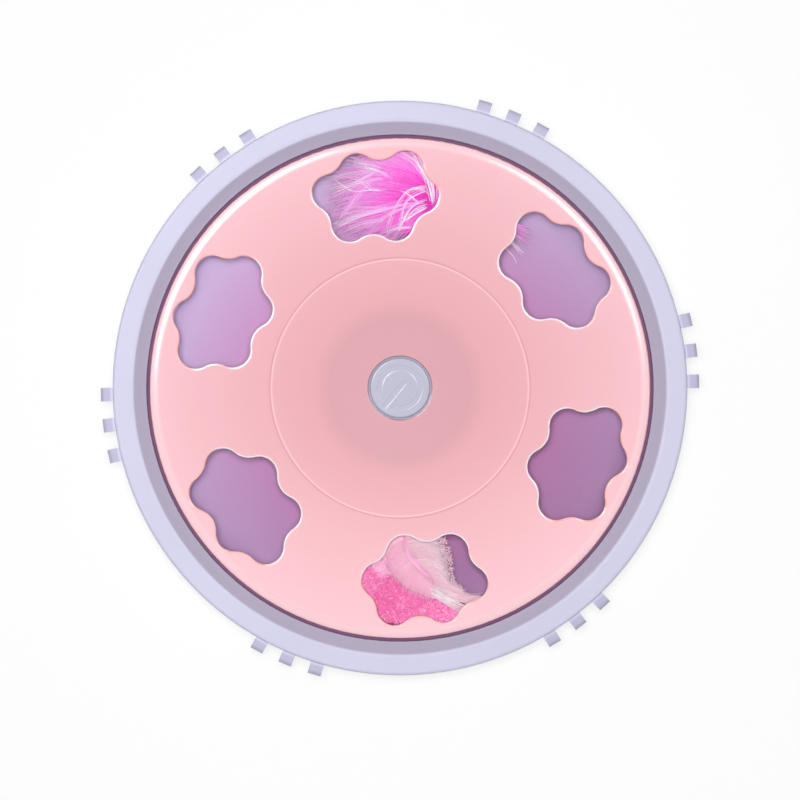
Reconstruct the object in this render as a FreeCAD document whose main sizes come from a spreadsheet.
import FreeCAD, Part
import math
import operator
import os
import types

import Sketcher

# A round battery toy for cats. A turntable with two bunches of feathers turns in a channel below a
# cover with six flower-shaped openings. Millimetres, z up, origin on the table below the middle.
# One opening lies on the x axis, and the first group of grip ribs lies halfway to the next one.

SIZES = {
    # overall, and the lavender base ring
    "toy_height": 60.0,
    "shell_wall": 2.4,
    "rim_radius": 125.0,
    "rim_round": 1.5,
    "skirt_draft": 2.0,
    "skirt_round": 2.0,
    "rim_flat": 8.8,
    "slope_width": 5.6,
    "slope_drop": 4.5,
    "slope_round": 3.0,
    "slope_skin": 1.0,
    "cut_margin": 1.0,
    # grip ribs outside
    "grip_group_count": 6,
    "grip_pitch_angle": 6.0,
    "grip_width": 5.9,
    "grip_reach": 5.5,
    "grip_top_drop": 3.5,
    "grip_foot_rise": 5.0,
    "grip_round": 2.2,
    # the channel that the feathers sweep, and the drum inside it
    "floor_level": 10.0,
    "channel_wall": 3.0,
    "channel_step": 0.6,
    "channel_round": 16.0,
    "drum_foot_round": 10.0,
    "drum_radius": 58.0,
    "drum_depth": 26.0,
    "drum_round": 3.0,
    "post_radius": 11.0,
    "post_bore": 6.0,
    # the cover's seat and bayonet
    "seat_depth": 5.0,
    "ledge_width": 3.6,
    "ledge_wall": 2.4,
    "lug_count": 6,
    "lug_half_angle": 4.5,
    "lug_wall": 2.7,
    "lug_lift_gap": 0.5,
    "lug_edge_gap": 1.2,
    "notch_half_angle": 5.1,
    "notch_edge_gap": 0.9,
    "twist_angle": 12.0,
    "stop_angle": 2.5,
    "stop_gap_angle": 0.6,
    "stop_edge_gap": 0.2,
    # the cover
    "cover_gap": 1.4,
    "cover_sink": 4.0,
    "cover_crown": 2.5,
    "cover_wall": 2.2,
    "cover_roll": 4.0,
    "cover_roll_angle": 30.0,
    "cover_round": 1.1,
    "neck_gap": 0.6,
    "neck_wall": 2.0,
    "groove_radius": 56.7,
    "groove_width": 0.9,
    "groove_depth": 0.45,
    "opening_count": 6,
    "opening_shift": 0.7,
    "opening_round": 0.9,
    "button_hole_round": 0.7,
    "lobe_radius": 7.8,
    "valley_radius": 9.8,
    "lobe_1_out": 11.3,
    "lobe_1_side": 6.6,
    "lobe_2_out": 3.7,
    "lobe_2_side": 19.4,
    "lobe_3_out": -11.0,
    "lobe_3_side": 12.7,
    "lobe_4_out": -13.1,
    "lobe_4_side": -7.2,
    "lobe_5_out": -2.7,
    "lobe_5_side": -19.6,
    "lobe_6_out": 9.9,
    "lobe_6_side": -14.5,
    # the button and its switch
    "button_radius": 13.1,
    "button_gap": 0.6,
    "button_guide_gap": 0.25,
    "button_rise": 0.4,
    "button_crown": 0.4,
    "button_round": 1.0,
    "button_wall": 1.6,
    "button_travel": 1.5,
    "button_flange": 1.2,
    "flange_gap": 0.1,
    "flange_reach": 0.9,
    "button_stem_radius": 3.0,
    "cap_radius": 17.0,
    "cap_wall": 2.4,
    "cap_lip": 1.4,
    "cap_round": 1.0,
    "cap_cover_gap": 1.3,
    "switch_base_wall": 3.0,
    "board_wall": 1.6,
    "switch_board_radius": 10.3,
    "switch_width": 8.0,
    "switch_tall": 4.5,
    "plunger_radius": 1.6,
    "plunger_gap": 0.08,
    "plunger_sunk": 1.6,
    "plunger_spare": 0.7,
    "plunger_end_gap": 0.3,
    "post_screw_circle": 8.5,
    "post_screw_count": 3,
    "peg_radius": 0.9,
    "peg_gap": 0.1,
    "peg_rise": 0.8,
    # the turntable and its feathers
    "rotor_edge_step": 4.0,
    "rotor_wall": 2.4,
    "rotor_skirt_gap": 1.2,
    "rotor_hub_wall": 3.9,
    "rotor_running_gap": 0.08,
    "rotor_lift_gap": 0.3,
    "rotor_rest_angle": 34.7,
    "washer_wall": 1.2,
    "arm_root_width": 16.0,
    "arm_tip_width": 9.0,
    "arm_wall": 5.0,
    "arm_count": 2,
    "socket_radius": 4.2,
    "socket_back": 5.0,
    "socket_front": 8.0,
    "press_gap": 0.05,
    "ferrule_radius": 2.5,
    "ferrule_tip_radius": 1.7,
    "ferrule_sunk": 9.0,
    "ferrule_collar": 1.4,
    "ferrule_reach": 7.0,
    "ferrule_gap": 0.3,
    "ferrule_cover": 4.0,
    "quill_radius": 0.8,
    "quill_tip_radius": 0.3,
    "quill_reach": 24.0,
    "quill_gap": 0.15,
    "bunch_angle": 35.0,
    "bunch_side_gap": 9.0,
    "bunch_tall": 16.0,
    # the drive
    "gear_module": 1.0,
    "gear_teeth": 60,
    "pinion_teeth": 12,
    "gear_thick": 5.0,
    "gear_backlash": 0.12,
    "pressure_angle": 20.0,
    "pinion_step": 0.3,
    "shaft_radius": 1.5,
    "shaft_sunk": 7.2,
    "shaft_press_gap": 0.02,
    "shaft_running_gap": 0.06,
    "gearbox_width": 12.0,
    "gearbox_depth": 10.0,
    "gearbox_tall": 9.0,
    "motor_floor_gap": 3.2,
    "motor_screw_edge": 1.5,
    "motor_screw_bite": 3.6,
    # screws
    "small_screw_radius": 1.0,
    "small_head_radius": 2.0,
    "small_head_tall": 1.2,
    "tiny_head_radius": 1.6,
    "tiny_head_tall": 1.0,
    "screw_radius": 1.5,
    "screw_head_radius": 2.9,
    "screw_head_tall": 1.2,
    "screw_length": 12.0,
    "screw_gap": 0.3,
    "shank_gap": 0.1,
    "screw_end_gap": 0.2,
    "head_sink": 0.2,
    "bottom_screw_inset": 6.8,
    "boss_radius": 4.2,
    "gear_screw_circle": 22.0,
    "gear_screw_count": 3,
    "gear_screw_bite": 1.2,
    "post_screw_bite": 6.0,
    "board_screw_bite": 5.0,
    # the underside: bottom cover, feet and battery bay
    "foot_stand": 2.0,
    "foot_sunk": 1.0,
    "foot_radius": 7.0,
    "foot_round": 0.6,
    "foot_gap": 0.1,
    "foot_inset": 23.0,
    "foot_count": 6,
    "fit_gap": 0.4,
    "cell_radius": 7.2,
    "cell_length": 50.5,
    "cell_pitch": 15.0,
    "nub_radius": 2.7,
    "nub_tall": 1.4,
    "cell_gap": 0.3,
    "bay_wall": 1.8,
    "bay_spring_room": 7.4,
    "contact_wall": 0.5,
    "contact_width": 9.0,
    "contact_tall": 10.0,
    "leaf_width": 7.2,
    "leaf_bow": 4.2,
    "door_wall": 1.6,
    "door_gap": 0.2,
    "door_lip": 0.9,
    "door_tab_width": 8.0,
    "door_tab_reach": 2.1,
    "door_tab_wall": 0.7,
    "door_tab_gap": 0.1,
    "door_tab_root": 1.0,
    "door_tab_place": 12.0,
    "door_tongue_width": 12.0,
    "door_tongue_reach": 4.0,
    # the timer board
    "timer_board_place": 39.5,
    "timer_board_width": 21.0,
    "timer_board_length": 34.0,
    "timer_board_level": 12.0,
    "timer_post_place": 12.0,
    "timer_post_radius": 2.6,
    "chip_width": 6.0,
    "chip_length": 8.0,
    "chip_tall": 1.6,
    "capacitor_radius": 2.5,
    "capacitor_tall": 7.0,
    "capacitor_out": 6.0,
    "capacitor_side": 4.0,
    # the leads inside the drum
    "lead_radius": 0.6,
    "lead_pitch": 3.0,
    "lead_hole_gap": 0.3,
    "lead_bend": 3.0,
    "lead_rise": 4.5,
    "lead_inset": 3.0,
    "lead_side": 9.0,
}

# Shapes without a size: a pan head's edge and top as shares, and the swell along a feather bunch
HEAD_EDGE = 0.6
HEAD_TOP = 0.7
BUNCH_SWELL = ((0.0, 0.3), (0.3, 0.85), (0.6, 1.0), (0.85, 0.75), (1.0, 0.25))
ROOT_SINK = 0.3
TOOTH_STEP = 0.35

doc = FreeCAD.newDocument("FeatherToy")
sheet = doc.addObject("Spreadsheet::Sheet", "Sizes")
for row, (name, number) in enumerate(SIZES.items(), start=1):
    sheet.set(f"A{row}", name)
    sheet.set(f"B{row}", str(number))
    sheet.setAlias(f"B{row}", name)
doc.recompute()


class Size:
    """A number that remembers its formula in the sheet, so what is worked out from it stays bound."""

    def __init__(self, value, formula):
        self.value = float(value)
        self.formula = formula

    def __add__(self, other):
        return worked(self, other, operator.add, "+")

    def __radd__(self, other):
        return worked(other, self, operator.add, "+")

    def __sub__(self, other):
        return worked(self, other, operator.sub, "-")

    def __rsub__(self, other):
        return worked(other, self, operator.sub, "-")

    def __mul__(self, other):
        return worked(self, other, operator.mul, "*")

    def __rmul__(self, other):
        return worked(other, self, operator.mul, "*")

    def __truediv__(self, other):
        return worked(self, other, operator.truediv, "/")

    def __rtruediv__(self, other):
        return worked(other, self, operator.truediv, "/")

    def __neg__(self):
        return Size(-self.value, f"(0 - {self.formula})")


def as_size(thing):
    if isinstance(thing, Size):
        return thing
    return Size(thing, f"({float(thing)!r})")


def worked(left, right, work, sign):
    left = as_size(left)
    right = as_size(right)
    return Size(work(left.value, right.value), f"({left.formula} {sign} {right.formula})")


def sine(angle):
    angle = as_size(angle)
    return Size(math.sin(math.radians(angle.value)), f"sin({angle.formula})")


def cosine(angle):
    angle = as_size(angle)
    return Size(math.cos(math.radians(angle.value)), f"cos({angle.formula})")


def tangent(angle):
    angle = as_size(angle)
    return Size(math.tan(math.radians(angle.value)), f"tan({angle.formula})")


def arc_cosine(ratio):
    """The angle in degrees, without a unit."""
    return Size(math.degrees(math.acos(ratio.value)), f"(acos({ratio.formula}) / 1 deg)")


def root(square):
    return Size(math.sqrt(square.value), f"sqrt({square.formula})")


S = types.SimpleNamespace(**{name: Size(number, f"Sizes.{name}") for name, number in SIZES.items()})
ZERO = as_size(0)

# Levels above the table
base_bottom = S.foot_stand
slope_foot_level = S.toy_height - S.slope_drop
seat_level = slope_foot_level - S.seat_depth
ledge_under = seat_level - S.ledge_wall
lug_top = ledge_under - S.lug_lift_gap
neck_bottom = lug_top - S.lug_wall
drum_top = S.toy_height - S.drum_depth
cover_edge_top = S.toy_height - S.cover_sink
cover_top = cover_edge_top + S.cover_crown
cover_under = cover_top - S.cover_wall
drum_under = drum_top - S.shell_wall
hub_bottom = drum_top + S.washer_wall + S.rotor_running_gap
gear_bottom = hub_bottom + S.pinion_step
gear_top = gear_bottom + S.gear_thick
rotor_top = gear_top + S.rotor_wall
post_top = rotor_top + S.rotor_lift_gap
switch_board_level = post_top + S.switch_base_wall
switch_body_level = switch_board_level + S.board_wall
switch_body_top = switch_body_level + S.switch_tall
cap_top = cover_under - S.cap_cover_gap
flange_top = cap_top - S.cap_lip - S.flange_gap
button_top = cover_top + S.button_rise
stem_bottom = switch_body_top + S.button_travel + S.plunger_spare
socket_level = rotor_top - S.arm_wall / 2
plate_top = base_bottom + S.shell_wall
bay_floor_level = base_bottom + S.door_wall
cell_level = bay_floor_level + S.cell_gap + S.cell_radius
bay_roof_under = cell_level + S.cell_radius + S.cell_gap
board_top = S.timer_board_level + S.board_wall
motor_tall = drum_under - S.gearbox_tall - plate_top - S.motor_floor_gap

# Radii about the middle, from outside to inside
skirt_radius = S.rim_radius - S.skirt_draft
slope_top_radius = S.rim_radius - S.rim_flat
slope_foot_radius = slope_top_radius - S.slope_width
channel_radius = slope_foot_radius - S.channel_step
channel_back_radius = channel_radius + S.channel_wall
ledge_radius = slope_foot_radius - S.ledge_width
cover_radius = slope_foot_radius - S.cover_gap
neck_radius = ledge_radius - S.neck_gap
lug_radius = channel_radius - S.lug_edge_gap
notch_radius = channel_radius - S.notch_edge_gap
cover_hole_radius = S.button_radius + S.button_gap
hub_bore = S.post_radius + S.rotor_running_gap
hub_radius = hub_bore + S.rotor_hub_wall
gear_pitch_radius = S.gear_module * S.gear_teeth / 2
pinion_pitch_radius = S.gear_module * S.pinion_teeth / 2
motor_place = gear_pitch_radius + pinion_pitch_radius
socket_circle = (S.drum_radius + channel_radius) / 2
opening_circle = socket_circle + S.opening_shift
rotor_radius = S.drum_radius - S.rotor_edge_step
foot_circle = skirt_radius - S.foot_inset
bottom_screw_circle = skirt_radius - S.bottom_screw_inset
bunch_width = channel_radius - S.drum_radius - 2 * S.bunch_side_gap
motor_screw_spread = S.gearbox_width / 2 - S.motor_screw_edge

# The battery bay, about the middle
bay_half_width = S.cell_pitch + S.cell_radius + S.cell_gap
bay_half_length = (S.cell_length + S.contact_wall + S.bay_spring_room) / 2
bay_half_width_out = bay_half_width + S.bay_wall
bay_half_length_out = bay_half_length + S.bay_wall
door_half_width = bay_half_width_out
door_half_length = bay_half_length_out + S.door_lip

GRIP_TURN = 180.0 / SIZES["grip_group_count"]


def bind(thing, place, size):
    """Ties one property of an object to the sheet."""
    thing.setExpression(place, as_size(size).formula)


def new_body(label):
    body = doc.addObject("PartDesign::Body", label)
    body.Label = label
    return body


def new_sketch(body, name, plane, shift=(0, 0, 0), turn=None):
    """A sketch on one of its body's origin planes, moved along the plane's own axes."""
    sketch = body.newObject("Sketcher::SketchObject", name)
    support = [item for item in body.Origin.OriginFeatures if item.Role == plane][0]
    sketch.AttachmentSupport = [(support, "")]
    sketch.MapMode = "FlatFace"
    shift = [as_size(amount) for amount in shift]
    upright = {"XY_Plane": FreeCAD.Vector(0, 0, 1), "XZ_Plane": FreeCAD.Vector(0, 1, 0)}
    angle = as_size(turn or 0)
    spin = FreeCAD.Rotation(upright.get(plane, FreeCAD.Vector(0, 0, 1)), angle.value)
    start = FreeCAD.Vector(*[amount.value for amount in shift])
    sketch.AttachmentOffset = FreeCAD.Placement(start, spin)
    for axis, amount in zip("xyz", shift):
        if amount.value:
            bind(sketch, f"AttachmentOffset.Base.{axis}", amount)
    if isinstance(turn, Size):
        bind(sketch, "AttachmentOffset.Rotation.Angle", turn)
    return sketch


def pin(sketch, edge, end, x, y):
    """Ties one point of an edge to its place from the sketch's origin. None leaves that way free."""
    for kind, axis, amount in (("DistanceX", -2, x), ("DistanceY", -1, y)):
        if amount is None:
            continue
        amount = as_size(amount)
        if amount.value == 0:
            sketch.addConstraint(Sketcher.Constraint("PointOnObject", edge, end, axis))
            continue
        rule = sketch.addConstraint(Sketcher.Constraint(kind, -1, 1, edge, end, amount.value))
        bind(sketch, f"Constraints[{rule}]", amount)


def arc_between(start, end, centre_x, centre_y):
    """The short arc between two points with one coordinate of its centre given, and its way round."""
    middle_x = (start[0] + end[0]) / 2
    middle_y = (start[1] + end[1]) / 2
    across = end[0] - start[0]
    along = end[1] - start[1]
    if centre_y is None:
        centre_y = middle_y - (centre_x - middle_x) * across / along
    if centre_x is None:
        centre_x = middle_x - (centre_y - middle_y) * along / across
    from_angle = math.atan2(start[1] - centre_y, start[0] - centre_x)
    to_angle = math.atan2(end[1] - centre_y, end[0] - centre_x)
    forward = (to_angle - from_angle) % (2 * math.pi) <= math.pi
    if not forward:
        from_angle, to_angle = to_angle, from_angle
    radius = math.hypot(start[0] - centre_x, start[1] - centre_y)
    circle = Part.Circle(FreeCAD.Vector(centre_x, centre_y, 0), FreeCAD.Vector(0, 0, 1), radius)
    return Part.ArcOfCircle(circle, from_angle, to_angle), forward


def outline(sketch, path):
    """Draws a closed line. A point is (x, y), or (x, y, centre_x, centre_y) where an arc leads to it,
    with one of the centre's two coordinates left None because the arc's ends already give it."""
    edges = []
    for place, point in enumerate(path):
        before = [as_size(amount).value for amount in path[place - 1][:2]]
        here = [as_size(amount).value for amount in point[:2]]
        if len(point) == 2:
            line = Part.LineSegment(FreeCAD.Vector(*before, 0), FreeCAD.Vector(*here, 0))
            edges.append((sketch.addGeometry(line, False), 1, 2))
            continue
        centre = [None if amount is None else as_size(amount).value for amount in point[2:]]
        arc, forward = arc_between(before, here, *centre)
        edges.append((sketch.addGeometry(arc, False), 1 if forward else 2, 2 if forward else 1))
    for place, (edge, start, end) in enumerate(edges):
        next_edge, next_start, _ = edges[(place + 1) % len(edges)]
        sketch.addConstraint(Sketcher.Constraint("Coincident", edge, end, next_edge, next_start))
        pin(sketch, edge, start, *path[place - 1][:2])
        if len(path[place]) == 4:
            pin(sketch, edge, 3, *path[place][2:])


def rectangle(sketch, half_x, half_y, middle_x=ZERO, middle_y=ZERO):
    low_x = middle_x - half_x
    high_x = middle_x + half_x
    low_y = middle_y - half_y
    high_y = middle_y + half_y
    outline(sketch, [(low_x, low_y), (high_x, low_y), (high_x, high_y), (low_x, high_y)])


def circle(sketch, radius, x=ZERO, y=ZERO):
    radius = as_size(radius)
    middle = FreeCAD.Vector(as_size(x).value, as_size(y).value, 0)
    ring = sketch.addGeometry(Part.Circle(middle, FreeCAD.Vector(0, 0, 1), radius.value), False)
    rule = sketch.addConstraint(Sketcher.Constraint("Radius", ring, radius.value))
    bind(sketch, f"Constraints[{rule}]", radius)
    pin(sketch, ring, 3, x, y)


def sector(sketch, inner, outer, middle_angle, half_angle):
    """A piece of a ring about the origin."""
    low = middle_angle - half_angle
    high = middle_angle + half_angle
    steep = abs(math.sin(math.radians(as_size(middle_angle).value))) > 0.7
    centre = (None, ZERO) if steep else (ZERO, None)
    outline(sketch, [
        (inner * cosine(low), inner * sine(low), *centre),
        (outer * cosine(low), outer * sine(low)),
        (outer * cosine(high), outer * sine(high), *centre),
        (inner * cosine(high), inner * sine(high)),
    ])


def revolve(body, sketch, name="Turned"):
    feature = body.newObject("PartDesign::Revolution", name)
    feature.Profile = sketch
    feature.ReferenceAxis = (sketch, ["V_Axis"])
    feature.Angle = 360
    body.Tip = feature
    return feature


def groove(body, sketch, name="TurnedCut"):
    feature = body.newObject("PartDesign::Groove", name)
    feature.Profile = sketch
    feature.ReferenceAxis = (sketch, ["V_Axis"])
    feature.Angle = 360
    body.Tip = feature
    return feature


def pad(body, sketch, length, name="Pad", down=False, both_ways=False):
    feature = body.newObject("PartDesign::Pad", name)
    feature.Profile = sketch
    feature.Reversed = down
    feature.Midplane = both_ways
    bind(feature, "Length", length)
    body.Tip = feature
    return feature


def pocket(body, sketch, depth, name="Pocket", up=False):
    """Cuts downwards from its sketch, or upwards with up."""
    feature = body.newObject("PartDesign::Pocket", name)
    feature.Profile = sketch
    feature.Reversed = up
    bind(feature, "Length", depth)
    body.Tip = feature
    return feature


def fillet(body, base, edges, radius, name="Rounding"):
    feature = body.newObject("PartDesign::Fillet", name)
    feature.Base = (base, edges)
    bind(feature, "Radius", radius)
    body.Tip = feature
    doc.recompute()
    return feature


def pattern(body, features, count, name="Ring"):
    """Repeats features evenly about the z axis."""
    feature = body.newObject("PartDesign::PolarPattern", name)
    feature.Originals = features
    upright = [item for item in body.Origin.OriginFeatures if item.Role == "Z_Axis"][0]
    feature.Axis = (upright, [""])
    feature.Angle = 360
    bind(feature, "Occurrences", count)
    body.Tip = feature
    return feature


def place(body, x=ZERO, y=ZERO, z=ZERO, turn=None):
    """Moves a finished body, and turns it about z."""
    spot = FreeCAD.Vector(as_size(x).value, as_size(y).value, as_size(z).value)
    spin = FreeCAD.Rotation(FreeCAD.Vector(0, 0, 1), as_size(turn or 0).value)
    body.Placement = FreeCAD.Placement(spot, spin)
    for axis, amount in zip("xyz", (x, y, z)):
        if as_size(amount).value:
            bind(body, f"Placement.Base.{axis}", amount)
    if turn is not None:
        bind(body, "Placement.Rotation.Angle", turn)


def base_shell():
    """The lavender moulding: rim, slope, cover seat, channel, drum and post, turned as one skin."""
    body = new_body("base_shell")
    skin = new_sketch(body, "SkinProfile", "XZ_Plane")
    rim_start = S.rim_radius - S.rim_round
    round_middle = channel_radius - S.channel_round
    drum_foot = S.drum_radius + S.drum_foot_round
    drum_inside = S.drum_radius - S.shell_wall
    floor_under = S.floor_level - S.channel_wall
    slope_length = root(S.slope_width * S.slope_width + S.slope_drop * S.slope_drop)
    slope_start = S.slope_round * (slope_length - S.slope_width) / S.slope_drop
    outline(skin, [
        (skirt_radius - S.skirt_round, base_bottom),
        (skirt_radius, base_bottom + S.skirt_round, skirt_radius - S.skirt_round, None),
        (S.rim_radius, S.toy_height - S.rim_round),
        (rim_start, S.toy_height, rim_start, None),
        (slope_top_radius + slope_start, S.toy_height),
        (slope_top_radius - slope_start * S.slope_width / slope_length,
         S.toy_height - slope_start * S.slope_drop / slope_length, slope_top_radius + slope_start, None),
        (slope_foot_radius, slope_foot_level),
        (slope_foot_radius, seat_level),
        (ledge_radius, seat_level),
        (ledge_radius, ledge_under),
        (channel_radius, ledge_under),
        (channel_radius, S.floor_level + S.channel_round),
        (round_middle, S.floor_level, round_middle, None),
        (drum_foot, S.floor_level),
        (S.drum_radius, S.floor_level + S.drum_foot_round, drum_foot, None),
        (S.drum_radius, drum_top - S.drum_round),
        (S.drum_radius - S.drum_round, drum_top, S.drum_radius - S.drum_round, None),
        (S.post_radius, drum_top),
        (S.post_radius, post_top),
        (S.post_bore, post_top),
        (S.post_bore, drum_under),
        (drum_inside, drum_under),
        (drum_inside, floor_under),
        (round_middle, floor_under),
        (channel_back_radius, S.floor_level + S.channel_round, round_middle, None),
        (channel_back_radius, slope_foot_level - S.slope_skin),
        (slope_top_radius + S.slope_skin, S.toy_height - S.shell_wall),
        (S.rim_radius - S.shell_wall, S.toy_height - S.shell_wall),
        (skirt_radius - S.shell_wall, base_bottom),
    ])
    revolve(body, skin, "Skin")

    grips = []
    for step in (-1, 0, 1):
        turn = -(GRIP_TURN + step * S.grip_pitch_angle)
        side = new_sketch(body, "GripProfile", "XZ_Plane", turn=turn)
        grip_radius = S.rim_radius + S.grip_reach
        grip_top = S.toy_height - S.grip_top_drop
        grip_root = skirt_radius - S.shell_wall / 2
        outline(side, [
            (grip_root, base_bottom + S.grip_foot_rise),
            (grip_radius - S.grip_round, base_bottom + S.grip_foot_rise),
            (grip_radius, base_bottom + S.grip_foot_rise + S.grip_round, grip_radius - S.grip_round, None),
            (grip_radius, grip_top - S.grip_round),
            (grip_radius - S.grip_round, grip_top, grip_radius - S.grip_round, None),
            (grip_root, grip_top),
        ])
        grips.append(pad(body, side, S.grip_width, "Grip", both_ways=True))
    pattern(body, grips, S.grip_group_count, "Grips")

    bosses = new_sketch(body, "BossPlace", "XY_Plane", shift=(0, 0, plate_top))
    circle(bosses, S.boss_radius, bottom_screw_circle)
    boss = pad(body, bosses, slope_foot_level - plate_top, "Boss")
    pilots = new_sketch(body, "PilotPlace", "XY_Plane", shift=(0, 0, plate_top))
    circle(pilots, S.screw_radius, bottom_screw_circle)
    pilot = pocket(body, pilots, S.screw_length, "Pilot", up=True)
    pattern(body, [boss, pilot], S.foot_count, "Bosses")

    notch_angle = GRIP_TURN + S.twist_angle
    notches = new_sketch(body, "NotchPlace", "XY_Plane", shift=(0, 0, seat_level))
    sector(notches, ledge_radius - S.cut_margin, notch_radius, notch_angle, S.notch_half_angle)
    notch = pocket(body, notches, S.ledge_wall, "Notch")
    pattern(body, [notch], S.lug_count, "Notches")

    stop_middle = GRIP_TURN - S.lug_half_angle - S.stop_gap_angle - S.stop_angle / 2
    stops = new_sketch(body, "StopPlace", "XY_Plane", shift=(0, 0, ledge_under))
    sector(stops, ledge_radius + S.stop_edge_gap, channel_radius + S.cut_margin, stop_middle, S.stop_angle / 2)
    stop = pad(body, stops, S.lug_wall + S.lug_lift_gap, "Stop", down=True)
    pattern(body, [stop], S.lug_count, "Stops")

    holes = new_sketch(body, "DriveHoles", "XY_Plane", shift=(0, 0, drum_top))
    circle(holes, S.shaft_radius + 2 * S.screw_gap, -motor_place)
    for side in (-1, 1):
        circle(holes, S.small_screw_radius, -motor_place, side * motor_screw_spread)
    pocket(body, holes, S.shell_wall, "DriveHole")

    posts = new_sketch(body, "PostPilots", "XY_Plane", shift=(0, 0, post_top))
    circle(posts, S.small_screw_radius, ZERO, S.post_screw_circle)
    post = pocket(body, posts, post_top - drum_top, "PostPilot")
    pattern(body, [post], S.post_screw_count, "PostPilotRing")


def flower(sketch):
    """One paw opening: six soft lobes joined by hollow arcs, all tangent."""
    lobes = []
    for number in range(1, 7):
        out = getattr(S, f"lobe_{number}_out")
        side = getattr(S, f"lobe_{number}_side")
        lobes.append((opening_circle + out, side))
    middles = [(out.value, side.value) for out, side in lobes]
    lobe = S.lobe_radius.value
    valley = S.valley_radius.value
    hollows = []
    for place, here in enumerate(middles):
        there = middles[(place + 1) % 6]
        across = (there[0] - here[0], there[1] - here[1])
        gap = math.hypot(*across)
        rise = math.sqrt((lobe + valley) ** 2 - gap * gap / 4)
        hollows.append(((here[0] + there[0]) / 2 + across[1] / gap * rise,
                        (here[1] + there[1]) / 2 - across[0] / gap * rise))

    def bearing(start, end):
        return math.atan2(end[1] - start[1], end[0] - start[0])

    arcs = []
    for place in range(6):
        middle = middles[place]
        before = hollows[place - 1]
        after = hollows[place]
        following = middles[(place + 1) % 6]
        ring = Part.Circle(FreeCAD.Vector(*middle, 0), FreeCAD.Vector(0, 0, 1), lobe)
        arc = Part.ArcOfCircle(ring, bearing(middle, before), bearing(middle, after))
        arcs.append(sketch.addGeometry(arc, False))
        ring = Part.Circle(FreeCAD.Vector(*after, 0), FreeCAD.Vector(0, 0, 1), valley)
        arc = Part.ArcOfCircle(ring, bearing(after, following), bearing(after, middle))
        arcs.append(sketch.addGeometry(arc, False))
    for place in range(6):
        rise = arcs[2 * place]
        dip = arcs[2 * place + 1]
        following = arcs[(2 * place + 2) % 12]
        sketch.addConstraint(Sketcher.Constraint("Tangent", rise, 2, dip, 2))
        sketch.addConstraint(Sketcher.Constraint("Tangent", dip, 1, following, 1))
        pin(sketch, rise, 3, *lobes[place])
        for arc, radius in ((rise, S.lobe_radius), (dip, S.valley_radius)):
            rule = sketch.addConstraint(Sketcher.Constraint("Radius", arc, radius.value))
            bind(sketch, f"Constraints[{rule}]", radius)


def flower_cover():
    """The pink cover: a domed skin with six openings and six bayonet lugs on its neck."""
    body = new_body("flower_cover")
    skin = new_sketch(body, "SkinProfile", "XZ_Plane")
    edge_start = cover_radius - S.cover_roll
    dome_radius = edge_start * edge_start / (2 * S.cover_crown) + S.cover_crown / 2
    dome_slope = edge_start / dome_radius
    roll_out = sine(S.cover_roll_angle)
    roll_up = cosine(S.cover_roll_angle)
    roll_radius = (S.cover_roll - S.cover_round + S.cover_round * roll_out) / (roll_out - dome_slope)
    roll_middle = edge_start - roll_radius * dome_slope
    roll_level = cover_edge_top - roll_radius + roll_radius * S.cover_crown / dome_radius
    neck_inside = neck_radius - S.neck_wall
    outline(skin, [
        (ZERO, cover_top),
        (edge_start, cover_edge_top, ZERO, None),
        (roll_middle + roll_radius * roll_out, roll_level + roll_radius * roll_up, roll_middle, None),
        (cover_radius, roll_level + (roll_radius - S.cover_round) * roll_up, cover_radius - S.cover_round, None),
        (cover_radius, seat_level),
        (neck_radius, seat_level),
        (neck_radius, neck_bottom),
        (neck_inside, neck_bottom),
        (neck_inside, cover_edge_top - S.cover_wall),
        (ZERO, cover_under, ZERO, None),
    ])
    revolve(body, skin, "Skin")

    lugs = new_sketch(body, "LugPlace", "XY_Plane", shift=(0, 0, neck_bottom))
    sector(lugs, neck_radius - S.neck_wall / 2, lug_radius, as_size(GRIP_TURN), S.lug_half_angle)
    lug = pad(body, lugs, S.lug_wall, "Lug")
    pattern(body, [lug], S.lug_count, "Lugs")

    line = new_sketch(body, "GrooveProfile", "XZ_Plane")
    share = S.groove_radius / edge_start
    groove_level = cover_top - S.cover_crown * share * share - S.groove_depth
    rectangle(line, S.groove_width / 2, S.groove_depth, S.groove_radius, groove_level + S.groove_depth)
    groove(body, line, "RingGroove")

    cut_level = cover_top + S.cut_margin
    button_hole = new_sketch(body, "ButtonHole", "XY_Plane", shift=(0, 0, cut_level))
    circle(button_hole, cover_hole_radius)
    pocket(body, button_hole, S.cover_wall + 2 * S.cut_margin, "ButtonCut")

    opening = new_sketch(body, "OpeningOutline", "XY_Plane", shift=(0, 0, cut_level))
    flower(opening)
    cut = pocket(body, opening, S.cover_crown + S.cover_wall + 2 * S.cut_margin, "Opening")
    openings = pattern(body, [cut], S.opening_count, "Openings")

    doc.recompute()
    hole = fillet(body, openings, on_dome(openings.Shape, ZERO, S.cap_radius), S.button_hole_round)
    fillet(body, hole, on_dome(hole.Shape, S.groove_radius + S.groove_width, edge_start), S.opening_round)


def on_dome(shape, inside, outside):
    """The names of the cut edges on the cover's top whose middles lie between two radii."""
    names = []
    for number, edge in enumerate(shape.Edges, start=1):
        middle = edge.valueAt((edge.FirstParameter + edge.LastParameter) / 2)
        away = math.hypot(middle.x, middle.y)
        dome = cover_top.value - S.cover_crown.value * (away / (cover_radius - S.cover_roll).value) ** 2
        near = abs(middle.z - dome) < S.cover_wall.value / 4
        seam = len(shape.ancestorsOfType(edge, Part.Face)) < 2
        if inside.value < away < outside.value and near and not seam:
            names.append(f"Edge{number}")
    return names


def thrust_washer():
    body = new_body("thrust_washer")
    ring = new_sketch(body, "Ring", "XY_Plane", shift=(0, 0, drum_top))
    circle(ring, hub_radius)
    circle(ring, S.post_radius + S.fit_gap)
    pad(body, ring, S.washer_wall)


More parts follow.
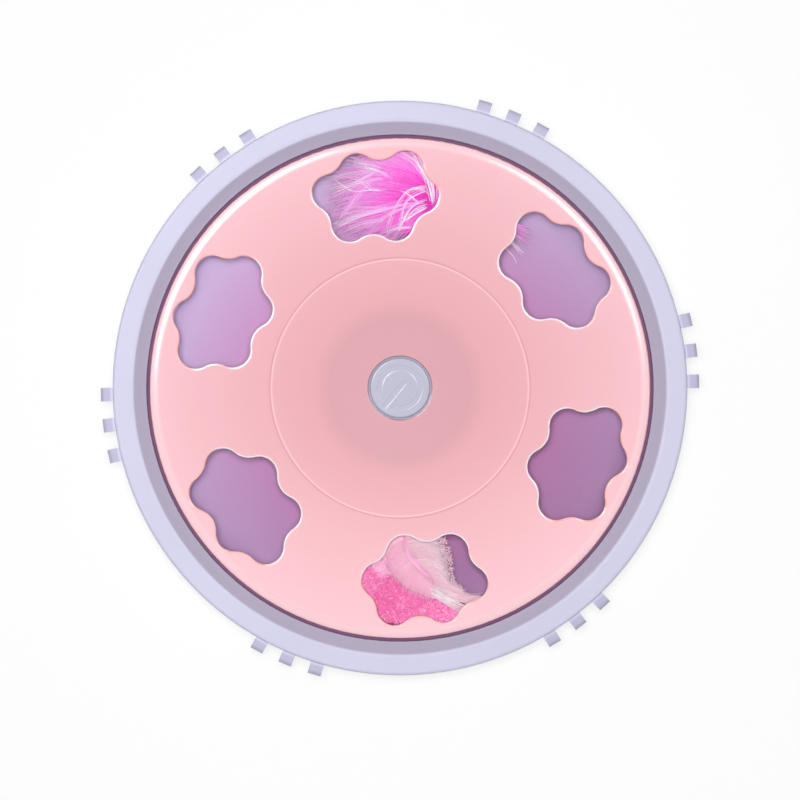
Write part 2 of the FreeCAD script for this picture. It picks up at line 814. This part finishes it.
def rotor_disc():
    """The turntable: a shallow cap over the gears, with two arms that end in feather sockets."""
    body = new_body("rotor_disc")
    skin = new_sketch(body, "SkinProfile", "XZ_Plane")
    skirt_inside = rotor_radius - S.rotor_wall
    round_start = rotor_radius - S.rotor_wall / 2
    outline(skin, [
        (hub_bore, hub_bottom),
        (hub_radius, hub_bottom),
        (hub_radius, gear_top),
        (skirt_inside, gear_top),
        (skirt_inside, drum_top + S.rotor_skirt_gap),
        (rotor_radius, drum_top + S.rotor_skirt_gap),
        (rotor_radius, rotor_top - S.rotor_wall / 2),
        (round_start, rotor_top, round_start, None),
        (hub_bore, rotor_top),
    ])
    revolve(body, skin, "Skin")

    pilots = new_sketch(body, "PilotPlace", "XY_Plane", shift=(0, 0, gear_top))
    screw_turn = 90 - S.rotor_rest_angle
    circle(pilots, S.small_screw_radius, S.gear_screw_circle * cosine(screw_turn), S.gear_screw_circle * sine(screw_turn))
    pilot = pocket(body, pilots, S.gear_screw_bite + S.screw_end_gap, "Pilot", up=True)
    pattern(body, [pilot], S.gear_screw_count, "Pilots")

    bars = new_sketch(body, "ArmOutline", "XY_Plane", shift=(0, 0, rotor_top - S.arm_wall))
    arm_start = skirt_inside - S.arm_wall
    outline(bars, [
        (arm_start, -S.arm_root_width / 2),
        (socket_circle, -S.arm_tip_width / 2),
        (socket_circle, S.arm_tip_width / 2),
        (arm_start, S.arm_root_width / 2),
    ])
    arm = pad(body, bars, S.arm_wall, "Arm")
    sockets = new_sketch(body, "SocketPlace", "XZ_Plane", shift=(0, 0, S.socket_back))
    circle(sockets, S.socket_radius, socket_circle, socket_level)
    socket = pad(body, sockets, S.socket_back + S.socket_front, "Socket", down=True)
    bores = new_sketch(body, "BorePlace", "XZ_Plane", shift=(0, 0, -S.socket_front))
    circle(bores, S.ferrule_radius + S.press_gap, socket_circle, socket_level)
    bore = pocket(body, bores, S.ferrule_sunk, "Bore", up=True)
    pattern(body, [arm, socket, bore], S.arm_count, "Arms")
    place(body, turn=S.rotor_rest_angle)


def involute(angle):
    """The involute function of an angle in degrees, in degrees."""
    return tangent(angle) * (180 / math.pi) - angle


def spur_gear(label, teeth, module, thick, bore):
    """A spur gear about the z axis, standing on the plane z = 0, with one tooth on the x axis."""
    body = new_body(label)
    pitch = module * teeth / 2
    tip = pitch + module
    foot = pitch - 1.25 * module
    start = pitch * cosine(S.pressure_angle)
    disc = new_sketch(body, "RootDisc", "XY_Plane")
    circle(disc, foot)
    circle(disc, bore)
    pad(body, disc, thick, "Disc")

    half_at_pitch = 90 / teeth - (S.gear_backlash / 2) / pitch * (180 / math.pi)

    def half_angle(radius):
        if radius.value <= start.value:
            return half_at_pitch + involute(S.pressure_angle)
        return half_at_pitch + involute(S.pressure_angle) - involute(arc_cosine(start / radius))

    tooth = new_sketch(body, "ToothOutline", "XY_Plane")
    inside = foot - ROOT_SINK * module
    radii = [inside, (foot + pitch) / 2, pitch + TOOTH_STEP * module, tip]
    low = [(radius * cosine(half_angle(radius)), -(radius * sine(half_angle(radius)))) for radius in radii]
    high = [(x, -y) for x, y in reversed(low)]
    outline(tooth, low + high)
    first = pad(body, tooth, thick, "Tooth")
    pattern(body, [first], teeth, "Teeth")
    return body


def rotor_gear():
    body = spur_gear("rotor_gear", S.gear_teeth, S.gear_module, S.gear_thick, hub_radius + S.press_gap)
    heads = new_sketch(body, "HeadPlace", "XY_Plane")
    circle(heads, S.small_head_radius + S.screw_gap, ZERO, S.gear_screw_circle)
    head = pocket(body, heads, S.small_head_tall + S.head_sink, "Head", up=True)
    shanks = new_sketch(body, "ShankPlace", "XY_Plane")
    circle(shanks, S.small_screw_radius + S.shank_gap, ZERO, S.gear_screw_circle)
    shank = pocket(body, shanks, S.gear_thick, "Shank", up=True)
    pattern(body, [head, shank], S.gear_screw_count, "ScrewHoles")
    place(body, z=gear_bottom)


def drive_pinion():
    body = spur_gear("drive_pinion", S.pinion_teeth, S.gear_module, S.gear_thick - S.pinion_step,
                     S.shaft_radius + S.shaft_press_gap)
    place(body, x=-motor_place, z=gear_bottom, turn=180 / S.pinion_teeth)


def motor_shaft():
    body = new_body("motor_shaft")
    shaft = new_sketch(body, "Section", "XY_Plane", shift=(-motor_place, 0, drum_under - S.shaft_sunk))
    circle(shaft, S.shaft_radius)
    pad(body, shaft, gear_top - S.pinion_step - drum_under + S.shaft_sunk)


def motor_gearbox():
    body = new_body("motor_gearbox")
    case = new_sketch(body, "Section", "XY_Plane", shift=(0, 0, drum_under))
    rectangle(case, S.gearbox_depth / 2, S.gearbox_width / 2, -motor_place)
    pad(body, case, S.gearbox_tall, "Case", down=True)
    bores = new_sketch(body, "ShaftBore", "XY_Plane", shift=(0, 0, drum_under))
    circle(bores, S.shaft_radius + S.shaft_running_gap, -motor_place)
    pocket(body, bores, S.shaft_sunk + S.screw_end_gap, "Bore")
    pilots = new_sketch(body, "PilotPlace", "XY_Plane", shift=(0, 0, drum_under))
    for side in (-1, 1):
        circle(pilots, S.small_screw_radius, -motor_place, side * motor_screw_spread)
    pocket(body, pilots, S.motor_screw_bite, "Pilot")


def motor_can():
    """The round motor with two flats, hanging below its gearbox."""
    body = new_body("motor_can")
    section = new_sketch(body, "Section", "XY_Plane", shift=(-motor_place, 0, drum_under - S.gearbox_tall))
    half_flat = S.gearbox_depth / 2
    radius = S.gearbox_width / 2
    reach = root(radius * radius - half_flat * half_flat)
    outline(section, [
        (half_flat, -reach, None, ZERO),
        (half_flat, reach),
        (-half_flat, reach, None, ZERO),
        (-half_flat, -reach),
    ])
    pad(body, section, motor_tall, "Can", down=True)


def screws(label, spots, head_radius, head_tall, shank_radius, shank_length, head_under, heads_up):
    """Identical pan-head screws as one group. head_under is the level of the head's flat face."""
    body = new_body(label)
    way = 1 if heads_up else -1
    for number, (x, y) in enumerate(spots):
        profile = new_sketch(body, f"Screw{number}", "XZ_Plane", shift=(x, head_under, -as_size(y)))
        outline(profile, [
            (ZERO, -way * shank_length),
            (shank_radius, -way * shank_length),
            (shank_radius, ZERO),
            (head_radius, ZERO),
            (head_radius, way * head_tall * HEAD_EDGE),
            (head_radius * HEAD_TOP, way * head_tall),
            (ZERO, way * head_tall),
        ])
        revolve(body, profile, f"Turned{number}")


def ring_spots(radius, count, start=0.0):
    """Points evenly round the z axis."""
    spots = []
    for number in range(count):
        angle = start + 360.0 * number / count
        spots.append((radius * cosine(angle), radius * sine(angle)))
    return spots


def all_screws():
    """Every group of fasteners."""
    small = (S.small_head_radius, S.small_head_tall, S.small_screw_radius)
    screws("gear_screws", ring_spots(S.gear_screw_circle, SIZES["gear_screw_count"], 90.0), *small,
           S.gear_thick - S.small_head_tall - S.head_sink + S.gear_screw_bite,
           gear_bottom + S.small_head_tall + S.head_sink, False)
    screws("post_screws", ring_spots(S.post_screw_circle, SIZES["post_screw_count"], 90.0), *small,
           S.switch_base_wall - S.small_head_tall + S.post_screw_bite, switch_board_level - S.small_head_tall, True)
    motor_spots = [(-motor_place, side * motor_screw_spread) for side in (-1, 1)]
    screws("motor_screws", motor_spots, S.tiny_head_radius, S.tiny_head_tall,
           S.small_screw_radius, S.shell_wall + S.motor_screw_bite - S.screw_end_gap, drum_top, True)
    screws("bottom_screws", ring_spots(bottom_screw_circle, SIZES["foot_count"]),
           S.screw_head_radius, S.screw_head_tall, S.screw_radius,
           S.screw_length, base_bottom + S.screw_head_tall, False)
    board_spots = [(S.timer_board_place, side * S.timer_post_place) for side in (-1, 1)]
    screws("board_screws", board_spots, *small, S.board_wall + S.board_screw_bite, board_top, True)


def switch_base():
    body = new_body("switch_base")
    disc = new_sketch(body, "Disc", "XY_Plane", shift=(0, 0, post_top))
    circle(disc, S.cap_radius)
    circle(disc, S.post_bore / 2)
    pad(body, disc, S.switch_base_wall, "Disc")
    heads = new_sketch(body, "HeadPlace", "XY_Plane", shift=(0, 0, switch_board_level))
    circle(heads, S.small_head_radius + S.screw_gap, ZERO, S.post_screw_circle)
    head = pocket(body, heads, S.small_head_tall, "Head")
    shanks = new_sketch(body, "ShankPlace", "XY_Plane", shift=(0, 0, switch_board_level))
    circle(shanks, S.small_screw_radius + S.shank_gap, ZERO, S.post_screw_circle)
    shank = pocket(body, shanks, S.switch_base_wall, "Shank")
    pattern(body, [head, shank], S.post_screw_count, "ScrewHoles")
    pegs = new_sketch(body, "PegPlace", "XY_Plane", shift=(0, 0, switch_board_level))
    circle(pegs, S.peg_radius, ZERO, -S.post_screw_circle)
    peg = pad(body, pegs, S.board_wall + S.peg_rise, "Peg")
    pattern(body, [peg], S.post_screw_count, "Pegs")


def switch_cap():
    """The collar that guides the button and stops its flange."""
    body = new_body("switch_cap")
    skin = new_sketch(body, "SkinProfile", "XZ_Plane")
    inside = S.cap_radius - S.cap_wall
    guide = S.button_radius + S.button_guide_gap
    outline(skin, [
        (inside, switch_board_level),
        (S.cap_radius, switch_board_level),
        (S.cap_radius, cap_top - S.cap_round),
        (S.cap_radius - S.cap_round, cap_top, S.cap_radius - S.cap_round, None),
        (guide, cap_top),
        (guide, cap_top - S.cap_lip),
        (inside, cap_top - S.cap_lip),
    ])
    revolve(body, skin, "Collar")


def switch_board():
    body = new_body("switch_board")
    disc = new_sketch(body, "Disc", "XY_Plane", shift=(0, 0, switch_board_level))
    circle(disc, S.switch_board_radius)
    pad(body, disc, S.board_wall, "Disc")
    holes = new_sketch(body, "PegHoles", "XY_Plane", shift=(0, 0, switch_body_level))
    circle(holes, S.peg_radius + S.peg_gap, ZERO, -S.post_screw_circle)
    hole = pocket(body, holes, S.board_wall, "PegHole")
    pattern(body, [hole], S.post_screw_count, "PegHoleRing")


def switch_body():
    body = new_body("switch_body")
    block = new_sketch(body, "Block", "XY_Plane", shift=(0, 0, switch_body_level))
    rectangle(block, S.switch_width / 2, S.switch_width / 2)
    pad(body, block, S.switch_tall, "Block")
    bores = new_sketch(body, "Bore", "XY_Plane", shift=(0, 0, switch_body_top))
    circle(bores, S.plunger_radius + S.plunger_gap)
    pocket(body, bores, S.plunger_sunk + S.button_travel + S.plunger_end_gap, "PlungerBore")


def switch_plunger():
    body = new_body("switch_plunger")
    rod = new_sketch(body, "Rod", "XY_Plane", shift=(0, 0, switch_body_top - S.plunger_sunk))
    circle(rod, S.plunger_radius)
    pad(body, rod, stem_bottom - switch_body_top + S.plunger_sunk)


def button_cap():
    body = new_body("button_cap")
    skin = new_sketch(body, "SkinProfile", "XZ_Plane")
    inside = S.button_radius - S.button_wall
    guide = S.button_radius + S.button_guide_gap
    flange_radius = guide + S.flange_reach
    flange_bottom = flange_top - S.button_flange
    round_start = S.button_radius - S.button_round
    shoulder = button_top - S.button_crown
    outline(skin, [
        (ZERO, button_top),
        (round_start, shoulder, ZERO, None),
        (S.button_radius, shoulder - S.button_round, round_start, None),
        (S.button_radius, flange_top),
        (flange_radius, flange_top),
        (flange_radius, flange_bottom),
        (inside, flange_bottom),
        (inside, shoulder - S.button_wall),
        (S.button_stem_radius, shoulder - S.button_wall),
        (S.button_stem_radius, stem_bottom),
        (ZERO, stem_bottom),
    ])
    revolve(body, skin, "Cap")


def bottom_cover():
    """The plate that closes the underside, moulded in one with the battery bay."""
    body = new_body("bottom_cover")
    disc = new_sketch(body, "Plate", "XY_Plane", shift=(0, 0, base_bottom))
    circle(disc, skirt_radius - S.shell_wall - S.fit_gap)
    pad(body, disc, S.shell_wall, "Plate")
    walls = new_sketch(body, "BayOutline", "XY_Plane", shift=(0, 0, base_bottom))
    rectangle(walls, bay_half_width_out, bay_half_length_out)
    pad(body, walls, bay_roof_under + S.bay_wall - base_bottom, "Bay")
    hollow = new_sketch(body, "BayHollow", "XY_Plane", shift=(0, 0, base_bottom))
    rectangle(hollow, bay_half_width, bay_half_length)
    pocket(body, hollow, bay_roof_under - base_bottom, "Hollow", up=True)
    rebate = new_sketch(body, "DoorRebate", "XY_Plane", shift=(0, 0, base_bottom))
    rectangle(rebate, door_half_width, door_half_length)
    pocket(body, rebate, S.door_wall, "Rebate", up=True)

    slots = new_sketch(body, "TabSlots", "XY_Plane", shift=(0, 0, plate_top))
    slot_far = door_half_length + S.door_tab_reach + S.door_gap
    for side in (-1, 1):
        rectangle(slots, S.door_tab_width / 2 + S.door_gap, (slot_far - bay_half_length_out) / 2,
                  side * S.door_tab_place, -(slot_far + bay_half_length_out) / 2)
    pocket(body, slots, S.shell_wall - S.door_wall + S.door_tab_wall + S.door_tab_gap, "TabSlot")

    thumb = new_sketch(body, "ThumbNotch", "XY_Plane", shift=(0, 0, base_bottom))
    thumb_reach = S.door_tongue_reach + S.fit_gap + S.cut_margin
    rectangle(thumb, S.door_tongue_width / 2 + S.fit_gap, thumb_reach / 2,
              ZERO, door_half_length - S.cut_margin + thumb_reach / 2)
    pocket(body, thumb, S.door_wall, "Thumb", up=True)

    heads = new_sketch(body, "HeadPlace", "XY_Plane", shift=(0, 0, base_bottom))
    circle(heads, S.screw_head_radius + S.screw_gap, bottom_screw_circle)
    head = pocket(body, heads, S.screw_head_tall, "Head", up=True)
    shanks = new_sketch(body, "ShankPlace", "XY_Plane", shift=(0, 0, base_bottom))
    circle(shanks, S.screw_radius + S.shank_gap, bottom_screw_circle)
    shank = pocket(body, shanks, S.shell_wall, "Shank", up=True)
    feet = new_sketch(body, "FootPlace", "XY_Plane", shift=(0, 0, base_bottom))
    circle(feet, S.foot_radius + S.foot_gap, foot_circle)
    foot = pocket(body, feet, S.foot_sunk, "FootSeat", up=True)
    pattern(body, [head, shank, foot], S.foot_count, "Seats")

    posts = new_sketch(body, "BoardPosts", "XY_Plane", shift=(0, 0, plate_top - S.shell_wall / 2))
    for side in (-1, 1):
        circle(posts, S.timer_post_radius, S.timer_board_place, side * S.timer_post_place)
    pad(body, posts, S.timer_board_level - plate_top + S.shell_wall / 2, "BoardPost")
    pilots = new_sketch(body, "BoardPilots", "XY_Plane", shift=(0, 0, S.timer_board_level))
    for side in (-1, 1):
        circle(pilots, S.small_screw_radius, S.timer_board_place, side * S.timer_post_place)
    pocket(body, pilots, S.board_screw_bite + S.screw_end_gap, "BoardPilot")

    ways = new_sketch(body, "LeadHoles", "XZ_Plane", shift=(0, 0, -bay_half_length_out))
    circle(ways, S.lead_radius + S.lead_hole_gap, -S.cell_pitch, cell_level)
    pocket(body, ways, S.bay_wall, "LeadHole", up=True)
    ways = new_sketch(body, "LeadHoles", "XZ_Plane", shift=(0, 0, bay_half_length_out))
    circle(ways, S.lead_radius + S.lead_hole_gap, S.cell_pitch, cell_level)
    pocket(body, ways, S.bay_wall, "LeadHole")


def rubber_feet():
    for number in range(SIZES["foot_count"]):
        body = new_body(f"rubber_foot_{number + 1}")
        profile = new_sketch(body, "Profile", "XZ_Plane")
        tall = S.foot_stand + S.foot_sunk
        outline(profile, [
            (ZERO, ZERO),
            (S.foot_radius - S.foot_round, ZERO),
            (S.foot_radius, S.foot_round, S.foot_radius - S.foot_round, None),
            (S.foot_radius, tall),
            (ZERO, tall),
        ])
        revolve(body, profile, "Pad")
        angle = 360.0 * number / SIZES["foot_count"]
        place(body, x=foot_circle * cosine(angle), y=foot_circle * sine(angle))


def battery_door():
    """The door: its two tabs reach into slots, and the tongue opposite takes a thumb."""
    body = new_body("battery_door")
    leaf = new_sketch(body, "Outline", "XY_Plane", shift=(0, 0, base_bottom))
    half_width = door_half_width - S.door_gap
    half_length = door_half_length - S.door_gap
    tongue = S.door_tongue_width / 2
    outline(leaf, [
        (-half_width, -half_length),
        (half_width, -half_length),
        (half_width, half_length),
        (tongue, half_length),
        (tongue, half_length + S.door_tongue_reach),
        (-tongue, half_length + S.door_tongue_reach),
        (-tongue, half_length),
        (-half_width, half_length),
    ])
    pad(body, leaf, S.door_wall, "Leaf")
    tabs = new_sketch(body, "Tabs", "XY_Plane", shift=(0, 0, bay_floor_level))
    for side in (-1, 1):
        rectangle(tabs, S.door_tab_width / 2, (S.door_tab_reach + S.door_gap + S.door_tab_root) / 2,
                  side * S.door_tab_place,
                  -(door_half_length + (S.door_tab_reach - S.door_gap - S.door_tab_root) / 2))
    pad(body, tabs, S.door_tab_wall, "Tab", down=True)


def battery_cells():
    """Three cells side by side, the middle one turned round."""
    for number in range(3):
        body = new_body(f"battery_cell_{number + 1}")
        half = (S.cell_length - S.contact_wall + S.bay_spring_room) / 2
        profile = new_sketch(body, "Profile", "XY_Plane", shift=(0, half - S.cell_length, 0))
        outline(profile, [
            (ZERO, ZERO),
            (S.cell_radius, ZERO),
            (S.cell_radius, S.cell_length - S.nub_tall),
            (S.nub_radius, S.cell_length - S.nub_tall),
            (S.nub_radius, S.cell_length),
            (ZERO, S.cell_length),
        ])
        revolve(body, profile, "Cell")
        turn = as_size(180 if number == 1 else 0)
        place(body, x=(number - 1) * S.cell_pitch, z=cell_level, turn=turn)


def contacts():
    """The bay's metal: flat plates at the nubs and bent spring leaves at the flat ends."""
    plates = new_body("positive_contacts")
    leaves = new_body("negative_contacts")
    low = cell_level - S.contact_tall / 2
    high = cell_level + S.contact_tall / 2
    wall = bay_half_length
    skin = S.contact_wall
    bow_place = wall - S.bay_spring_room / 2
    for number in range(3):
        way = -1 if number == 1 else 1
        x = (number - 1) * S.cell_pitch
        plate = new_sketch(plates, f"Plate{number}", "XY_Plane", shift=(0, 0, low))
        rectangle(plate, S.contact_width / 2, skin / 2, x, way * (wall - skin / 2))
        pad(plates, plate, S.contact_tall, f"PlatePad{number}")
        leaf = new_sketch(leaves, f"Leaf{number}", "YZ_Plane", shift=(0, 0, x))
        outline(leaf, [
            (-way * wall, low),
            (-way * (wall - skin), low),
            (-way * (wall - skin), high - 2 * skin),
            (-way * (wall - S.bay_spring_room + 2 * skin), cell_level),
            (-way * bow_place, cell_level - S.leaf_bow),
            (-way * (bow_place - skin), cell_level - S.leaf_bow - skin),
            (-way * (wall - S.bay_spring_room), cell_level),
            (-way * (wall - skin), high),
            (-way * wall, high),
        ])
        pad(leaves, leaf, S.leaf_width, f"LeafPad{number}", both_ways=True)


def timer_board():
    body = new_body("timer_board")
    board = new_sketch(body, "Board", "XY_Plane", shift=(0, 0, S.timer_board_level))
    rectangle(board, S.timer_board_width / 2, S.timer_board_length / 2, S.timer_board_place)
    pad(body, board, S.board_wall, "Board")
    parts = new_sketch(body, "Chip", "XY_Plane", shift=(0, 0, board_top))
    rectangle(parts, S.chip_width / 2, S.chip_length / 2, S.timer_board_place)
    pad(body, parts, S.chip_tall, "Chip")
    tin = new_sketch(body, "Capacitor", "XY_Plane", shift=(0, 0, board_top))
    circle(tin, S.capacitor_radius, S.timer_board_place + S.capacitor_out, S.capacitor_side)
    pad(body, tin, S.capacitor_tall, "Capacitor")
    holes = new_sketch(body, "Holes", "XY_Plane", shift=(0, 0, S.timer_board_level))
    for side in (-1, 1):
        circle(holes, S.small_screw_radius + S.shank_gap, S.timer_board_place, side * S.timer_post_place)
    pocket(body, holes, S.board_wall, "Hole", up=True)


def lead(corners):
    """One insulated lead: a round tube along straight runs with a round bend at each corner."""
    corners = [FreeCAD.Vector(*[as_size(amount).value for amount in corner]) for corner in corners]
    bend = S.lead_bend.value
    edges = []
    start = corners[0]
    for before, corner, after in zip(corners, corners[1:], corners[2:]):
        arriving = (corner - before).normalize()
        leaving = (after - corner).normalize()
        half_turn = arriving.getAngle(leaving) / 2
        first = corner - arriving * bend * math.tan(half_turn)
        last = corner + leaving * bend * math.tan(half_turn)
        inwards = (leaving - arriving).normalize()
        middle = corner + inwards * bend * (1 / math.cos(half_turn) - 1)
        edges += [Part.LineSegment(start, first).toShape(), Part.Arc(first, middle, last).toShape()]
        start = last
    edges.append(Part.LineSegment(start, corners[-1]).toShape())
    section = Part.Circle(corners[0], corners[1] - corners[0], S.lead_radius.value).toShape()
    return Part.Wire(edges).makePipeShell([Part.Wire([section])], True, False)


def leads():
    """The three pairs of leads that meet at the timer board."""
    half = S.lead_pitch / 2
    edge = S.timer_board_place - S.timer_board_width / 2 + S.lead_inset
    far_edge = S.timer_board_place + S.timer_board_width / 2 - S.lead_inset
    over_board = board_top + S.lead_rise
    over_bay = bay_roof_under + S.bay_wall + S.lead_rise
    over_leads = over_bay + S.lead_pitch
    can_side = S.gearbox_width / 2
    beside_can = can_side + S.lead_rise
    can_level = drum_under - S.gearbox_tall - motor_tall + S.lead_pitch
    beside_bay = bay_half_length_out + S.lead_rise
    pairs = {"motor_leads": [], "battery_leads": [], "switch_leads": []}
    for side in (-1, 1):
        pairs["motor_leads"].append([
            (-motor_place, side * can_side, can_level),
            (-motor_place, side * beside_can, can_level),
            (-motor_place, side * beside_can, over_bay),
            (edge, side * half, over_bay),
            (edge, side * half, board_top),
        ])
        pairs["switch_leads"].append([
            (0, side * half, switch_board_level),
            (0, side * half, over_leads),
            (far_edge, -S.lead_side + side * half, over_leads),
            (far_edge, -S.lead_side + side * half, board_top),
        ])
        pairs["battery_leads"].append([
            (-side * S.cell_pitch, side * bay_half_length, cell_level),
            (-side * S.cell_pitch, side * beside_bay, cell_level),
            (edge, side * beside_bay, over_board),
            (edge, side * S.lead_side, over_board),
            (edge, side * S.lead_side, board_top),
        ])
    for name, routes in pairs.items():
        feature = doc.addObject("Part::Feature", name)
        feature.Label = name
        feature.Shape = Part.makeCompound([lead(corners) for corners in routes])


def feathers():
    """Ferrule, quill and soft bunch at the end of each arm."""
    start = S.socket_front - S.ferrule_sunk
    ferrule_end = S.socket_front + S.ferrule_reach
    for number in range(SIZES["arm_count"]):
        turn = S.rotor_rest_angle + 360.0 * number / SIZES["arm_count"]
        ferrule = new_body(f"feather_ferrule_{number + 1}")
        profile = new_sketch(ferrule, "Profile", "XY_Plane", shift=(socket_circle, 0, socket_level))
        outline(profile, [
            (ZERO, start),
            (S.ferrule_radius, start),
            (S.ferrule_radius, S.socket_front + S.ferrule_collar),
            (S.ferrule_tip_radius, ferrule_end),
            (ZERO, ferrule_end),
        ])
        revolve(ferrule, profile, "Ferrule")
        place(ferrule, turn=turn)

        quill = new_body(f"feather_quill_{number + 1}")
        profile = new_sketch(quill, "Profile", "XY_Plane", shift=(socket_circle, 0, socket_level))
        outline(profile, [
            (ZERO, ferrule_end),
            (S.quill_radius, ferrule_end),
            (S.quill_tip_radius, ferrule_end + S.quill_reach),
            (ZERO, ferrule_end + S.quill_reach),
        ])
        revolve(quill, profile, "Quill")
        place(quill, turn=turn)

        bunch = doc.addObject("Part::Feature", f"feather_bunch_{number + 1}")
        bunch.Label = f"feather_bunch_{number + 1}"
        bunch.Shape = bunch_shape(ferrule_end.value)
        place(bunch, turn=turn)


def bunch_shape(start):
    """A soft leaf-shaped bunch that follows the channel, with a bore for its quill and ferrule."""
    radius = socket_circle.value
    level = socket_level.value
    middle = FreeCAD.Vector(0, 0, 0)
    upright = FreeCAD.Vector(0, 0, 1)
    forward = FreeCAD.Vector(0, 1, 0)
    first = math.degrees(math.asin(start / radius))
    rings = []
    for share, swell in BUNCH_SWELL:
        oval = Part.Ellipse(middle, bunch_width.value / 2 * swell, S.bunch_tall.value / 2 * swell).toShape()
        oval.rotate(middle, FreeCAD.Vector(1, 0, 0), 90)
        oval.translate(FreeCAD.Vector(radius, 0, level))
        oval.rotate(middle, upright, first + share * S.bunch_angle.value)
        rings.append(Part.Wire([oval]))
    solid = Part.makeLoft(rings, True)
    quill = Part.makeCylinder(S.quill_radius.value + S.quill_gap.value,
                              S.quill_reach.value + S.ferrule_gap.value,
                              FreeCAD.Vector(radius, start, level), forward)
    ferrule = Part.makeCylinder(S.ferrule_tip_radius.value + S.ferrule_gap.value, S.ferrule_cover.value,
                                FreeCAD.Vector(radius, start - S.ferrule_cover.value + S.ferrule_gap.value, level),
                                forward)
    return solid.cut(quill).cut(ferrule)


def build():
    base_shell()
    flower_cover()
    thrust_washer()
    rotor_disc()
    rotor_gear()
    drive_pinion()
    motor_shaft()
    motor_gearbox()
    motor_can()
    all_screws()
    switch_base()
    switch_cap()
    switch_board()
    switch_body()
    switch_plunger()
    button_cap()
    bottom_cover()
    rubber_feet()
    battery_door()
    battery_cells()
    contacts()
    timer_board()
    leads()
    feathers()


def sub_parts():
    """The objects that are pieces of the toy."""
    found = [item for item in doc.Objects if item.TypeId == "PartDesign::Body"]
    return found + [item for item in doc.Objects if item.TypeId == "Part::Feature"]


def check():
    """Stops on a failed feature, or on a piece whose shape isn't sound."""
    for item in doc.Objects:
        if {"Invalid", "Error"} & set(item.State):
            raise ValueError(f"{item.Label} failed: {item.State}")
    for item in sub_parts():
        if item.Shape.isNull() or not item.Shape.isValid() or not item.Shape.Solids:
            raise ValueError(f"{item.Label} has no sound shape")


def write():
    os.makedirs("parts", exist_ok=True)
    for item in sub_parts():
        item.Shape.exportStep(f"parts/{item.Label}.step")
        box = item.Shape.BoundBox
        print(f"{item.Label}: {len(item.Shape.Solids)} solids, {item.Shape.Volume:.0f} mm3, "
              f"z {box.ZMin:.2f} to {box.ZMax:.2f}")


build()
doc.recompute()
check()
write()
